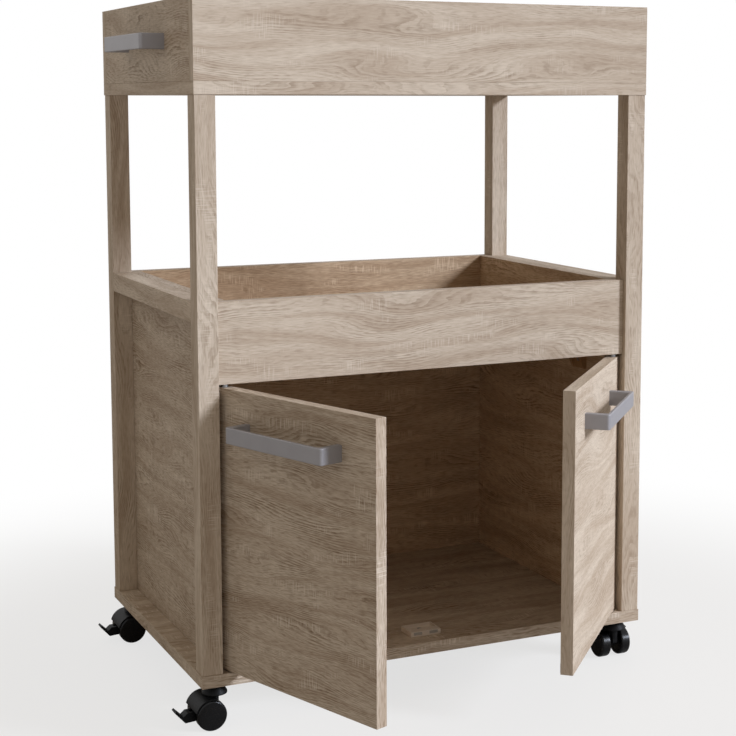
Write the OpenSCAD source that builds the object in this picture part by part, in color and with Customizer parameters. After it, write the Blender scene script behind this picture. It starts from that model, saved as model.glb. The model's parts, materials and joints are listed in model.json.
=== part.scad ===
// Bar cabinet on casters: four square posts between two boards, a top tray, a middle
// tray, and a cupboard with two inset doors below it.
// Millimetres, +Z up. X is the width, Y runs from the front to the back.
// The origin lies on the floor, under the middle of the whole object with its doors as posed.

/* [Frame] */
// Width over the outer faces of the posts
body_w = 635; // [560:1:760]
// Depth over the outer faces of the posts
body_d = 418; // [360:1:520]
// Height from the underside of the base board to the rim of the top tray
carcass_h = 850; // [780:1:960]
// Thickness of every board
board_t = 16; // [15:0.5:19]
// How far the base and the upper shelf stand out past the posts
overhang = 1; // [0.5:0.5:4]
// Side of the square posts
post_s = 26.5; // [25:0.5:32]
// Height of the rails between the posts at each side
rail_h = 26; // [20:1:34]

/* [Trays] */
// Height of the walls of the top tray
tray_wall_h = 101.5; // [80:0.5:130]
// Height of the front board of the middle tray
mid_wall_h = 102.5; // [80:0.5:130]
// Height of the rim of the middle tray above the underside of the base board
mid_top = 481.5; // [460:0.5:560]
// How far the middle tray's front and the shut doors lie behind the posts
recess = 6.5; // [5:0.5:8]
// How far the back panel lies in front of the backs of the posts
back_recess = 1; // [0:0.5:4]

/* [Doors] */
// Gap between a door and its post
side_gap = 2.5; // [2.3:0.1:4]
// Gap between the two shut doors
middle_gap = 3; // [2:0.5:6]
// Gap under the doors
low_gap = 1.5; // [1.2:0.1:3]
// Gap over the doors
top_gap = 4; // [2:0.5:6]
// Distance from a door's hinge edge to its pivot
pivot_in = 9; // [8:0.5:11]
// Distance from a door's front face to its pivot
pivot_deep = 6.5; // [6:0.5:7]
// Angle at which the left door stands open
left_open = 70.5; // [10:0.5:100]
// Angle at which the right door stands open
right_open = 47.5; // [10:0.5:100]
// Radius of the pivot pins
pin_r = 2.5; // [2:0.1:3]
// Length of a pivot pin inside the door and inside the board over it
pin_l = 11; // [8:0.5:12]
// Length of a pivot pin inside the base board
pin_low_l = 5; // [4:0.5:6]
// Outer radius of the bushes in the doors
bush_r = 4; // [3.8:0.1:4.5]
// Side of the striker plates on the doors
striker_s = 12; // [8:0.5:18]

/* [Handles] */
// Length of a handle over its legs
handle_l = 174; // [130:1:220]
// Height of the handle's strip
handle_h = 20; // [14:0.5:28]
// How far a handle stands out
handle_out = 32; // [24:0.5:40]
// Thickness of the handle's bar
handle_bar_t = 4.5; // [3:0.5:8]
// Thickness of the handle's legs
handle_leg_t = 9; // [8:0.5:14]
// Radius of the handle's outer corners
handle_round = 4; // [2:0.5:6]
// Distance from the top of a door to the top of its handle
handle_drop = 38; // [20:1:80]
// How far the side handles lie in front of the middle of the tray
tray_handle_shift = 6; // [0:1:20]

/* [Casters] */
// Height of a caster, from the floor to the base board
caster_h = 57; // [56:0.5:66]
// Diameter of a wheel
wheel_d = 39; // [34:0.5:40]
// Width of one wheel
wheel_w = 14.5; // [12:0.5:18]
// Gap between the two wheels of a caster
wheel_gap = 17.2; // [17:0.1:20]
// Distance from the swivel axis back to the axle
trail = 10; // [9:0.5:14]
// Distance of the swivel axes from the sides of the base board
caster_in_x = 24; // [22:0.5:40]
// Distance of the swivel axes from the front and back of the base board
caster_in_y = 26; // [22:0.5:40]
// Side of the mounting plate
plate_s = 38; // [37:1:44]
// Thickness of the mounting plate
plate_t = 2.5; // [2:0.25:4]
// Spacing of the mounting plate's screws
plate_screws = 29; // [28:0.5:30]
// Radius of the axles
axle_r = 3; // [2:0.25:3.5]
// Radius of the swivel stems
stem_r = 3.5; // [3:0.25:4]
// Length of a brake lever from its axle to its tip
lever_l = 44; // [38:1:52]

/* [Small parts] */
// Radius of the dowels
dowel_r = 4; // [3:0.5:4.5]
// Length of a dowel in the end grain
dowel_end = 19; // [15:1:24]
// Length of a dowel in the face of a board
dowel_face = 11; // [8:1:12]
// Length of a frame screw
frame_screw_l = 50; // [40:1:70]
// Width of the magnetic catch on the base board
catch_w = 44; // [36:1:60]
// Depth of the magnetic catch
catch_d = 32; // [24:1:40]
// Height of the magnetic catch
catch_h = 7; // [6:0.5:10]
// Length of a bracket under the middle tray
bracket_l = 34; // [28:1:50]
// Height of a bracket
bracket_h = 30; // [24:1:40]
// Distance from the front and the back of the tray floor to its brackets
bracket_in = 52; // [30:1:90]

/* [Hidden] */
$fn = 48;
// Clearance of a pin or an axle in its bore, on the radius
run_gap = 0.05;
// Clearance of a dowel or a screw in its hole, on the radius and at the end
hole_gap = 0.1;
// Gap between faces that slide past each other
slide_gap = 0.3;
// How far a cut runs on past the face that it opens
past = 1;

// Planes of the frame, from the front of the posts and the underside of the base board
inner_x = body_w / 2 - post_s;
panel_x = inner_x - board_t;
board_x = body_w / 2 + overhang;
board_front = -overhang;
board_back = body_d + overhang;
post_mid = post_s / 2;
post_x = body_w / 2 - post_mid;
post_top = carcass_h - tray_wall_h - board_t;
tray_floor = post_top + board_t;
mid_low = mid_top - mid_wall_h;
mid_floor_top = mid_low + board_t;
apron_back = recess + board_t;
back_front = body_d - back_recess - board_t;

// Doors, each in its own frame with the pivot at the origin
door_w = (2 * inner_x - 2 * side_gap - middle_gap) / 2;
door_low = board_t + low_gap;
door_top = mid_low - top_gap;
door_x0 = -pivot_in;
door_x1 = door_w - pivot_in;
door_y0 = -pivot_deep;
door_y1 = board_t - pivot_deep;
pivot_x = inner_x - side_gap - pivot_in;
pivot_y = recess + pivot_deep;
bush_l = pin_l + 2;
striker_t = 1;
striker_in = 4;

// Handles, with the foot plane at y = 0
handle_hole_x = (handle_l - handle_leg_t) / 2;
handle_screw_r = 2;
handle_screw_in = 8;
handle_head_r = 4;
handle_head_t = 2.2;
handle_mid_x = (door_x0 + door_x1) / 2;
handle_mid_z = door_top - handle_drop - handle_h / 2;
tray_handle_y = body_d / 2 - tray_handle_shift;
tray_handle_z = (tray_floor + carcass_h) / 2;

// Casters, with the swivel axis at the origin and the base board's underside at z = 0
caster_x = board_x - caster_in_x;
caster_front_y = board_front + caster_in_y;
caster_back_y = board_back - caster_in_y;
wheel_r = wheel_d / 2;
wheel_round = 2.5;
wheel_dish_r = wheel_r - 4.5;
wheel_dish = 1;
wheel_cap_r = 6;
wheel_cap_w = wheel_w - 0.3;
axle_z = wheel_r - caster_h;
axle_in_wheel = 10;
cap_top = -plate_t - slide_gap;
cap_top_r = 10;
cap_r = 16;
cap_low = -15;
cap_rim_t = 2;
neck_r = 5.3;
neck_over = 7.5;
neck_low = axle_z + neck_over;
stem_l = 16;
web_t = 7;
web_foot = 4;
fender_in_r = wheel_r + 0.6;
fender_out_r = fender_in_r + 1.5;
fender_from = 16;
fender_to = 112;
fender_w = wheel_gap + 2 * wheel_w - 2;
hub_r = 5.6;
cheek_t = 3.6;
lever_rise = 3.6;
lever_drop = -9.5;
pedal_from = fender_out_r + 1.5;
pedal_l = 13.5;
pedal_bend = lever_l - pedal_l;
pedal_dip = -1.2;
pedal_rise = 7.6;
pedal_edge = 2.2;
caster_screw_r = 1.75;
caster_head_r = 3.2;
caster_head_t = 1.5;
caster_screw_stop = 7;
caster_screw_in = board_t - caster_screw_stop;
// One wheel's section: radius, distance from the wheel's inner face
WHEEL = [
    [0, 0], [wheel_r - wheel_round, 0],
    for (a = [-60:30:0]) [wheel_r - wheel_round + wheel_round * cos(a), wheel_round + wheel_round * sin(a)],
    for (a = [0:30:90])
        [wheel_r - wheel_round + wheel_round * cos(a), wheel_w - wheel_round + wheel_round * sin(a)],
    [wheel_dish_r, wheel_w], [wheel_dish_r - 1, wheel_w - wheel_dish],
    [wheel_cap_r + 0.5, wheel_w - wheel_dish], [wheel_cap_r, wheel_cap_w], [0, wheel_cap_w]
];

// Each caster: side, 0 at the front or 1 at the back, and the way its wheels trail
FRONT_LEFT = [-1, 0, 180];
BACK_LEFT = [-1, 1, 180];
FRONT_RIGHT = [1, 0, 90];
BACK_RIGHT = [1, 1, 0];
CASTERS = [FRONT_LEFT, BACK_LEFT, FRONT_RIGHT, BACK_RIGHT];

// Magnetic catch behind the meeting edges of the doors
catch_front = apron_back + striker_t + slide_gap;
catch_back = catch_front + catch_d;
catch_base_t = 2.5;
catch_rim_t = 1.5;
catch_head_d = 12;
catch_screw_r = 1.5;
catch_screw_in = 10;
catch_head_r = 3;
catch_head_t = 1.6;
magnet_w = 12;
magnet_h = 3.6;
magnet_d = 9;
magnet_lid_t = 1.2;
magnet_x = (middle_gap + striker_s) / 2 + striker_in;

// Screws through the frame: head's point, direction
screw_r = 3;
screw_head_r = 5;
screw_head_t = 3;
post_screw_in = 7;
panel_screw_in = 60;
back_screw_x = 120;
FRAME_SCREWS = [
    for (sx = [-1, 1]) each [
        [[sx * (inner_x + post_screw_in), post_s - post_screw_in, 0], [0, 0, 1]],
        [[sx * (inner_x + post_screw_in), body_d - post_s + post_screw_in, 0], [0, 0, 1]],
        [[sx * post_x, post_mid, tray_floor], [0, 0, -1]],
        [[sx * post_x, body_d - post_mid, tray_floor], [0, 0, -1]],
        [[sx * (inner_x - board_t / 2), post_s + panel_screw_in, 0], [0, 0, 1]],
        [[sx * (inner_x - board_t / 2), back_front - panel_screw_in, 0], [0, 0, 1]],
        [[sx * back_screw_x, back_front + board_t / 2, 0], [0, 0, 1]]
    ]
];

// Dowels: point on the joint plane, direction into the end grain
dowel_in = 45;
dowel_low = 32;
floor_dowel_x = 150;
TRAY_DOWELS = [
    for (x = [dowel_in - board_x, 0, board_x - dowel_in])
        for (y = [board_front + board_t / 2, board_back - board_t / 2]) [[x, y, tray_floor], [0, 0, 1]],
    for (sx = [-1, 1]) each [
        [[sx * (board_x - board_t / 2), board_front + board_t + dowel_in, tray_floor], [0, 0, 1]],
        [[sx * (board_x - board_t / 2), board_back - board_t - dowel_in, tray_floor], [0, 0, 1]]
    ]
];
CORNER_DOWELS = [
    for (sx = [-1, 1]) for (z = [tray_floor + dowel_low, carcass_h - dowel_low]) each [
        [[sx * (board_x - board_t / 2), board_front + board_t, z], [0, 1, 0]],
        [[sx * (board_x - board_t / 2), board_back - board_t, z], [0, -1, 0]]
    ]
];
APRON_DOWELS = [
    for (sx = [-1, 1]) for (z = [mid_low + dowel_low, mid_top - dowel_low])
        [[sx * inner_x, recess + board_t / 2, z], [-sx, 0, 0]]
];
BACK_DOWELS = [
    for (sx = [-1, 1]) for (z = [board_t + dowel_in, mid_low + dowel_low, mid_top - dowel_low])
        [[sx * inner_x, back_front + board_t / 2, z], [-sx, 0, 0]]
];
RAIL_DOWELS = [
    for (sx = [-1, 1]) each [
        [[sx * post_x, post_s, mid_top - rail_h / 2], [0, 1, 0]],
        [[sx * post_x, body_d - post_s, mid_top - rail_h / 2], [0, -1, 0]]
    ]
];
FLOOR_DOWELS = [
    for (x = [-floor_dowel_x, 0, floor_dowel_x]) each [
        [[x, apron_back, mid_low + board_t / 2], [0, 1, 0]],
        [[x, back_front, mid_low + board_t / 2], [0, -1, 0]]
    ]
];

// Brackets under the tray floor: side, front end of the bracket
bracket_w = 16;
bracket_t = 3;
bracket_rib = 5;
bracket_tip = 4;
bracket_screw_x = 10;
bracket_screw_z = 18;
bracket_screw_r = 1.5;
bracket_screw_in = 10;
bracket_head_r = 2.8;
bracket_head_t = 1.6;
bracket_ys = [apron_back + bracket_in, back_front - bracket_in - bracket_l];

// How far the doors' free corners reach forward of the posts, and the object's middle in the depth
left_reach = door_x1 * sin(left_open) - door_y0 * cos(left_open) - pivot_y;
right_reach = door_x1 * sin(right_open) - door_y0 * cos(right_open) - pivot_y;
mid_y = (board_back - max(left_reach, right_reach, overhang)) / 2;

oak = [0.76, 0.69, 0.6];
grey = [0.53, 0.53, 0.54];
steel = [0.72, 0.72, 0.74];
black = [0.09, 0.09, 0.1];
brown = [0.42, 0.3, 0.2];
beech = [0.85, 0.72, 0.52];

// Moves the frame's own planes to the origin on the floor
module standing() {
    translate([0, -mid_y, caster_h]) children();
}

// A box between two opposite corners
module slab(low, high) {
    translate(low) cube(high - low);
}

// Turns a piece that points along +Z to a direction along an axis
module along(d) {
    if (d[2] != 0) rotate([d[2] > 0 ? 0 : 180, 0, 0]) children();
    else if (d[1] != 0) rotate([d[1] > 0 ? -90 : 90, 0, 0]) children();
    else rotate([0, d[0] > 0 ? 90 : -90, 0]) children();
}

// The dowels of a list, or their holes when a clearance is given
module dowel_set(spots, gap = 0) {
    for (s = spots)
        translate(s[0] - (dowel_face + gap) * s[1])
            along(s[1]) cylinder(r = dowel_r + gap, h = dowel_face + dowel_end + 2 * gap);
}

// The frame screws, or their holes when a clearance is given
module screw_set(gap = 0) {
    for (s = FRAME_SCREWS)
        translate(s[0]) along(s[1]) {
            translate([0, 0, gap > 0 ? -past : 0])
                cylinder(r = screw_head_r + gap, h = screw_head_t + (gap > 0 ? past + gap : 0));
            cylinder(r = screw_r + gap, h = frame_screw_l + gap);
        }
}

module base_board() {
    color(oak) standing() difference() {
        slab([-board_x, board_front, 0], [board_x, board_back, board_t]);
        screw_set(hole_gap);
        for (sx = [-1, 1])
            translate([sx * pivot_x, pivot_y, board_t - pin_low_l - hole_gap])
                cylinder(r = pin_r + hole_gap, h = pin_low_l + past);
        for (c = CASTERS) caster_screw_holes(c);
        catch_screw(hole_gap);
    }
}

module caster_screw_holes(c) {
    at_caster(c) for (x = [-1, 1], y = [-1, 1])
        translate([x * plate_screws / 2, y * plate_screws / 2, -past])
            cylinder(r = caster_screw_r + hole_gap, h = caster_screw_in + past + hole_gap);
}

module upper_shelf() {
    color(oak) standing() difference() {
        slab([-board_x, board_front, post_top], [board_x, board_back, tray_floor]);
        screw_set(hole_gap);
        dowel_set(TRAY_DOWELS, hole_gap);
    }
}

// The front or the back wall of the top tray, from its lowest y
module tray_long_wall(y) {
    color(oak) standing() difference() {
        slab([-board_x, y, tray_floor], [board_x, y + board_t, carcass_h]);
        dowel_set(TRAY_DOWELS, hole_gap);
        dowel_set(CORNER_DOWELS, hole_gap);
    }
}

module tray_side(side) {
    color(oak) standing() difference() {
        translate([side * (board_x - board_t / 2), 0, 0])
            slab([-board_t / 2, board_front + board_t, tray_floor],
                 [board_t / 2, board_back - board_t, carcass_h]);
        dowel_set(TRAY_DOWELS, hole_gap);
        dowel_set(CORNER_DOWELS, hole_gap);
        tray_handle_holes(side);
    }
}

module tray_handle_holes(side) {
    at_tray_handle(side) for (x = [-handle_hole_x, handle_hole_x])
        translate([x, -past, 0]) rotate([-90, 0, 0])
            cylinder(r = handle_screw_r + hole_gap, h = board_t + 2 * past);
}

// A post, with y at its front face
module post(side, y) {
    color(oak) standing() difference() {
        translate([side * post_x, y, 0])
            slab([-post_mid, 0, board_t], [post_mid, post_s, post_top]);
        screw_set(hole_gap);
        dowel_set(APRON_DOWELS, hole_gap);
        dowel_set(BACK_DOWELS, hole_gap);
        dowel_set(RAIL_DOWELS, hole_gap);
    }
}

module rail(side) {
    color(oak) standing() difference() {
        translate([side * post_x, 0, 0])
            slab([-post_mid, post_s, mid_top - rail_h], [post_mid, body_d - post_s, mid_top]);
        dowel_set(RAIL_DOWELS, hole_gap);
    }
}

// A side of the cupboard, which also is the side wall of the middle tray
module side_panel(side) {
    color(oak) standing() difference() {
        translate([side * (inner_x - board_t / 2), 0, 0])
            slab([-board_t / 2, post_s, board_t], [board_t / 2, back_front, mid_top]);
        screw_set(hole_gap);
        for (y = bracket_ys) bracket_screw(side, y, hole_gap);
    }
}

module middle_tray_front() {
    color(oak) standing() difference() {
        slab([-inner_x, recess, mid_low], [inner_x, apron_back, mid_top]);
        dowel_set(APRON_DOWELS, hole_gap);
        dowel_set(FLOOR_DOWELS, hole_gap);
        for (sx = [-1, 1])
            translate([sx * pivot_x, pivot_y, mid_low - past])
                cylinder(r = pin_r + hole_gap, h = pin_l + past + hole_gap);
    }
}

module middle_tray_floor() {
    color(oak) standing() difference() {
        slab([-panel_x, apron_back, mid_low], [panel_x, back_front, mid_floor_top]);
        dowel_set(FLOOR_DOWELS, hole_gap);
        for (sx = [-1, 1], y = bracket_ys) bracket_screw(sx, y, hole_gap);
    }
}

module back_panel() {
    color(oak) standing() difference() {
        slab([-inner_x, back_front, board_t], [inner_x, back_front + board_t, mid_top]);
        screw_set(hole_gap);
        dowel_set(BACK_DOWELS, hole_gap);
        dowel_set(FLOOR_DOWELS, hole_gap);
    }
}

module dowels() {
    color(beech) standing() {
        dowel_set(TRAY_DOWELS);
        dowel_set(CORNER_DOWELS);
        dowel_set(APRON_DOWELS);
        dowel_set(BACK_DOWELS);
        dowel_set(RAIL_DOWELS);
        dowel_set(FLOOR_DOWELS);
    }
}

module frame_screws() {
    color(steel) standing() screw_set();
}

// Puts a bracket's frame at the corner of a side panel and the tray floor, x inwards, y back
module at_bracket(side, y) {
    translate([side * panel_x, y, mid_low]) mirror([side > 0 ? 1 : 0, 0, 0]) children();
}

// One plastic corner bracket: two flanges, and a rib at each end
module bracket() {
    difference() {
        translate([0, bracket_l, 0]) rotate([90, 0, 0]) linear_extrude(bracket_l)
            polygon([
                [0, 0], [bracket_w, 0], [bracket_w, -bracket_t], [bracket_tip, -bracket_h], [0, -bracket_h]
            ]);
        slab([bracket_t, bracket_rib, -bracket_h - past], [bracket_w + past, bracket_l - bracket_rib, -bracket_t]);
        bracket_screw_pair(hole_gap);
    }
}

// The upright and the level screw of a bracket, in the bracket's frame
module bracket_screw_pair(gap = 0) {
    translate([bracket_screw_x, bracket_l / 2, -bracket_t]) bracket_screw_shape(gap);
    translate([bracket_t, bracket_l / 2, -bracket_screw_z]) rotate([0, -90, 0]) bracket_screw_shape(gap);
}

module bracket_screw_shape(gap) {
    if (gap == 0) translate([0, 0, -bracket_head_t]) cylinder(r = bracket_head_r, h = bracket_head_t);
    translate([0, 0, -gap]) cylinder(r = bracket_screw_r + gap, h = bracket_t + bracket_screw_in + 2 * gap);
}

module bracket_screw(side, y, gap) {
    at_bracket(side, y) bracket_screw_pair(gap);
}

module tray_brackets() {
    color(brown) standing() for (sx = [-1, 1], y = bracket_ys) at_bracket(sx, y) bracket();
}

module bracket_screws() {
    color(steel) standing() for (sx = [-1, 1], y = bracket_ys) bracket_screw(sx, y, 0);
}

// The outline of a handle seen from above: a bar on two legs with rounded outer corners
module handle_outline() {
    difference() {
        union() {
            translate([-handle_l / 2, -handle_out + handle_round])
                square([handle_l, handle_out - handle_round]);
            translate([-handle_l / 2 + handle_round, -handle_out])
                square([handle_l - 2 * handle_round, handle_round]);
            for (sx = [-1, 1])
                translate([sx * (handle_l / 2 - handle_round), -handle_out + handle_round])
                    circle(r = handle_round);
        }
        translate([-handle_l / 2 + handle_leg_t, -handle_out + handle_bar_t])
            square([handle_l - 2 * handle_leg_t, handle_out]);
    }
}

module handle() {
    difference() {
        translate([0, 0, -handle_h / 2]) linear_extrude(handle_h) handle_outline();
        handle_screw_pair(hole_gap);
    }
}

// The screws through a board into the legs, or their holes when a clearance is given
module handle_screw_pair(gap = 0) {
    for (x = [-handle_hole_x, handle_hole_x]) translate([x, 0, 0]) rotate([-90, 0, 0]) {
        translate([0, 0, -handle_screw_in - gap])
            cylinder(r = handle_screw_r + gap, h = handle_screw_in + board_t + gap);
        if (gap == 0) translate([0, 0, board_t]) cylinder(r = handle_head_r, h = handle_head_t);
    }
}

module at_tray_handle(side) {
    translate([side * board_x, tray_handle_y, tray_handle_z]) rotate([0, 0, side * 90]) children();
}

module tray_handle(side) {
    color(grey) standing() at_tray_handle(side) handle();
}

module tray_handle_screws() {
    color(steel) standing() for (sx = [-1, 1]) at_tray_handle(sx) handle_screw_pair();
}

// Puts a door's frame at its pivot, turned open, x towards the free edge
module hung(side, angle) {
    translate([side * pivot_x, pivot_y, 0]) rotate([0, 0, side * angle])
        mirror([side > 0 ? 1 : 0, 0, 0]) children();
}

module at_door_handle() {
    translate([handle_mid_x, door_y0, handle_mid_z]) children();
}

module door(side, angle) {
    color(oak) standing() hung(side, angle) difference() {
        slab([door_x0, door_y0, door_low], [door_x1, door_y1, door_top]);
        for (z = [door_low - past, door_top - bush_l - hole_gap])
            translate([0, 0, z]) cylinder(r = bush_r + hole_gap, h = bush_l + past + hole_gap);
        at_door_handle() for (x = [-handle_hole_x, handle_hole_x])
            translate([x, -past, 0]) rotate([-90, 0, 0])
                cylinder(r = handle_screw_r + hole_gap, h = board_t + 2 * past);
    }
}

module door_handle(side, angle) {
    color(grey) standing() hung(side, angle) at_door_handle() handle();
}

module door_screws(side, angle) {
    color(steel) standing() hung(side, angle) at_door_handle() handle_screw_pair();
}

module door_bushes(side, angle) {
    color(black) standing() hung(side, angle) for (z = [door_low, door_top - bush_l])
        translate([0, 0, z]) difference() {
            cylinder(r = bush_r, h = bush_l);
            translate([0, 0, -past]) cylinder(r = pin_r + run_gap, h = bush_l + 2 * past);
        }
}

// The steel plate at the back of a door that meets its magnet
module door_striker(side, angle) {
    color(steel) standing() hung(side, angle)
        slab([door_x1 - striker_in - striker_s, door_y1, door_low + 1],
             [door_x1 - striker_in, door_y1 + striker_t, door_low + 1 + striker_s]);
}

// Pins with a collar that carries the door below and centres it above
module hinge_pins() {
    low_collar = low_gap - slide_gap;
    high_collar = top_gap - slide_gap;
    color(steel) standing() for (sx = [-1, 1]) translate([sx * pivot_x, pivot_y, 0]) {
        translate([0, 0, board_t - pin_low_l]) cylinder(r = pin_r, h = pin_low_l + low_gap + pin_l);
        translate([0, 0, board_t]) cylinder(r = bush_r, h = low_collar);
        translate([0, 0, door_top - pin_l]) cylinder(r = pin_r, h = 2 * pin_l + top_gap);
        translate([0, 0, mid_low - high_collar]) cylinder(r = bush_r, h = high_collar);
    }
}

// The catch: a block with the magnets, and a pan with a rim and the screw behind it
module catch_body() {
    color(grey) standing() difference() {
        slab([-catch_w / 2, catch_front, board_t], [catch_w / 2, catch_back, board_t + catch_h]);
        slab([catch_rim_t - catch_w / 2, catch_front + catch_head_d, board_t + catch_base_t],
             [catch_w / 2 - catch_rim_t, catch_back - catch_rim_t, board_t + catch_h + past]);
        for (sx = [-1, 1]) magnet(sx, hole_gap);
        catch_screw(hole_gap);
    }
}

// The screw through the catch's pan, or its hole when a clearance is given
module catch_screw(gap = 0) {
    translate([0, (catch_front + catch_head_d + catch_back - catch_rim_t) / 2, board_t]) {
        if (gap == 0) translate([0, 0, catch_base_t]) cylinder(r = catch_head_r, h = catch_head_t);
        translate([0, 0, -catch_screw_in - gap])
            cylinder(r = catch_screw_r + gap, h = catch_screw_in + catch_base_t + 2 * gap);
    }
}

module catch_screw_piece() {
    color(steel) standing() catch_screw();
}

// One magnet in the catch's front, or its pocket when a clearance is given
module magnet(side, gap = 0) {
    z = board_t + catch_h - magnet_lid_t - magnet_h;
    translate([side * magnet_x, 0, 0])
        slab([-magnet_w / 2 - gap, catch_front - (gap > 0 ? past : 0), z - gap],
             [magnet_w / 2 + gap, catch_front + magnet_d + gap, z + magnet_h + gap]);
}

module catch_magnets() {
    color(steel) standing() for (sx = [-1, 1]) magnet(sx);
}

// Puts a caster's frame under the base board, x from the swivel axis towards the axle
module at_caster(c) {
    translate([c[0] * caster_x, c[1] > 0 ? caster_back_y : caster_front_y, 0])
        rotate([0, 0, c[2]]) children();
}

module caster_plates() {
    color(black) standing() for (c = CASTERS) at_caster(c) difference() {
        slab([-plate_s / 2, -plate_s / 2, -plate_t], [plate_s / 2, plate_s / 2, 0]);
        translate([0, 0, -plate_t - past]) cylinder(r = stem_r + run_gap, h = plate_t + 2 * past);
        for (x = [-1, 1], y = [-1, 1]) translate([x * plate_screws / 2, y * plate_screws / 2, -plate_t]) {
            translate([0, 0, -past]) cylinder(r = caster_head_r + hole_gap, h = past + caster_head_t);
            cylinder(r = caster_screw_r + hole_gap, h = plate_t + past);
        }
    }
}

module caster_stems() {
    color(steel) standing() for (c = CASTERS) at_caster(c)
        translate([0, 0, -plate_t - stem_l]) cylinder(r = stem_r, h = plate_t + stem_l);
}

module caster_screws() {
    color(steel) standing() for (c = CASTERS) at_caster(c)
        for (x = [-1, 1], y = [-1, 1]) translate([x * plate_screws / 2, y * plate_screws / 2, -plate_t]) {
            cylinder(r = caster_head_r, h = caster_head_t - hole_gap);
            cylinder(r = caster_screw_r, h = plate_t + caster_screw_in);
        }
}

// Puts a frame on a caster's axle, x away from the swivel axis, y up, z along the axle
module at_axle() {
    translate([trail, 0, axle_z]) rotate([90, 0, 0]) children();
}

// The web's outline between the neck, the axle and the fender
module web_outline() {
    web_back = 1 - trail - neck_r;
    intersection() {
        circle(r = fender_in_r + 0.5);
        polygon([
            [web_back, 2 * wheel_r], [web_back, web_foot / 2], [-web_foot, -hub_r], [web_foot, -hub_r],
            [fender_out_r * cos(fender_from), fender_out_r * sin(fender_from)], [fender_out_r, 2 * wheel_r]
        ]);
    }
}

// The arc of the fender over the wheels
module fender_outline() {
    reach = 2 * fender_out_r;
    difference() {
        intersection() {
            circle(r = fender_out_r);
            polygon([
                [0, 0], [reach * cos(fender_from), reach * sin(fender_from)], [reach, reach],
                [reach * cos(fender_to), reach]
            ]);
        }
        circle(r = fender_in_r);
    }
}

module caster_body(c) {
    color(black) standing() at_caster(c) difference() {
        union() {
            translate([0, 0, cap_low]) cylinder(r = cap_r, h = cap_rim_t);
            translate([0, 0, cap_low + cap_rim_t])
                cylinder(r1 = cap_r, r2 = cap_top_r, h = cap_top - cap_low - cap_rim_t);
            translate([0, 0, neck_low]) cylinder(r = neck_r, h = cap_top - neck_low);
            at_axle() {
                translate([0, 0, -web_t / 2]) linear_extrude(web_t) web_outline();
                translate([0, 0, -fender_w / 2]) linear_extrude(fender_w) fender_outline();
            }
        }
        translate([0, 0, cap_top - stem_l - slide_gap]) cylinder(r = stem_r + run_gap, h = stem_l + past);
        at_axle() translate([0, 0, -web_t]) cylinder(r = axle_r + run_gap, h = 2 * web_t);
    }
}

module axle(c) {
    half_l = wheel_gap / 2 + axle_in_wheel;
    color(steel) standing() at_caster(c) at_axle()
        translate([0, 0, -half_l]) cylinder(r = axle_r, h = 2 * half_l);
}

module wheel(c, way) {
    color(black) standing() at_caster(c) at_axle() mirror([0, 0, way > 0 ? 0 : 1])
        translate([0, 0, wheel_gap / 2]) difference() {
            rotate_extrude() polygon(WHEEL);
            translate([0, 0, -past]) cylinder(r = axle_r + run_gap, h = past + axle_in_wheel + slide_gap);
        }
}

// A brake lever: two cheeks on the axle, and a pedal that turns up at its tip
module lever_outline() {
    polygon([
        [0, hub_r - 1], [fender_in_r, lever_rise], [pedal_bend - 3, lever_rise - 0.2],
        [pedal_bend + 2.5, pedal_dip], [lever_l - 2, pedal_rise], [lever_l, pedal_rise - pedal_edge],
        [pedal_bend, lever_drop], [fender_in_r - 2, lever_drop + 1], [0, 1 - hub_r]
    ]);
}

module brake_lever(c) {
    cheek_in = web_t / 2 + slide_gap;
    width = 2 * (cheek_in + cheek_t);
    color(black) standing() at_caster(c) at_axle() difference() {
        translate([0, 0, -width / 2]) union() {
            cylinder(r = hub_r, h = width);
            linear_extrude(width) lever_outline();
        }
        translate([-wheel_r, -wheel_r, -cheek_in]) cube([wheel_r + pedal_from, 2 * wheel_r, 2 * cheek_in]);
        translate([0, 0, -width]) cylinder(r = axle_r + run_gap, h = 2 * width);
    }
}

base_board();
upper_shelf();
tray_long_wall(board_front);  // tray_front
tray_long_wall(board_back - board_t);  // tray_back
tray_side(-1);  // tray_side_left
tray_side(1);  // tray_side_right
post(-1, 0);  // post_front_left
post(1, 0);  // post_front_right
post(-1, body_d - post_s);  // post_back_left
post(1, body_d - post_s);  // post_back_right
rail(-1);  // rail_left
rail(1);  // rail_right
side_panel(-1);  // side_panel_left
side_panel(1);  // side_panel_right
middle_tray_front();
middle_tray_floor();
back_panel();
dowels();
frame_screws();
tray_brackets();
bracket_screws();
tray_handle(-1);  // tray_handle_left
tray_handle(1);  // tray_handle_right
tray_handle_screws();
hinge_pins();
catch_body();
catch_magnets();
catch_screw_piece();  // catch_screw
door(-1, left_open);  // door_left
door_handle(-1, left_open);  // door_handle_left
door_bushes(-1, left_open);  // door_bushes_left
door_striker(-1, left_open);  // door_striker_left
door_screws(-1, left_open);  // door_screws_left
door(1, right_open);  // door_right
door_handle(1, right_open);  // door_handle_right
door_bushes(1, right_open);  // door_bushes_right
door_striker(1, right_open);  // door_striker_right
door_screws(1, right_open);  // door_screws_right
caster_plates();
caster_stems();
caster_screws();
caster_body(FRONT_LEFT);  // caster_body_front_left
caster_body(BACK_LEFT);  // caster_body_back_left
caster_body(FRONT_RIGHT);  // caster_body_front_right
caster_body(BACK_RIGHT);  // caster_body_back_right
axle(FRONT_LEFT);  // axle_front_left
axle(BACK_LEFT);  // axle_back_left
axle(FRONT_RIGHT);  // axle_front_right
axle(BACK_RIGHT);  // axle_back_right
wheel(FRONT_LEFT, 1);  // wheel_front_left_a
wheel(FRONT_LEFT, -1);  // wheel_front_left_b
wheel(BACK_LEFT, 1);  // wheel_back_left_a
wheel(BACK_LEFT, -1);  // wheel_back_left_b
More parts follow.
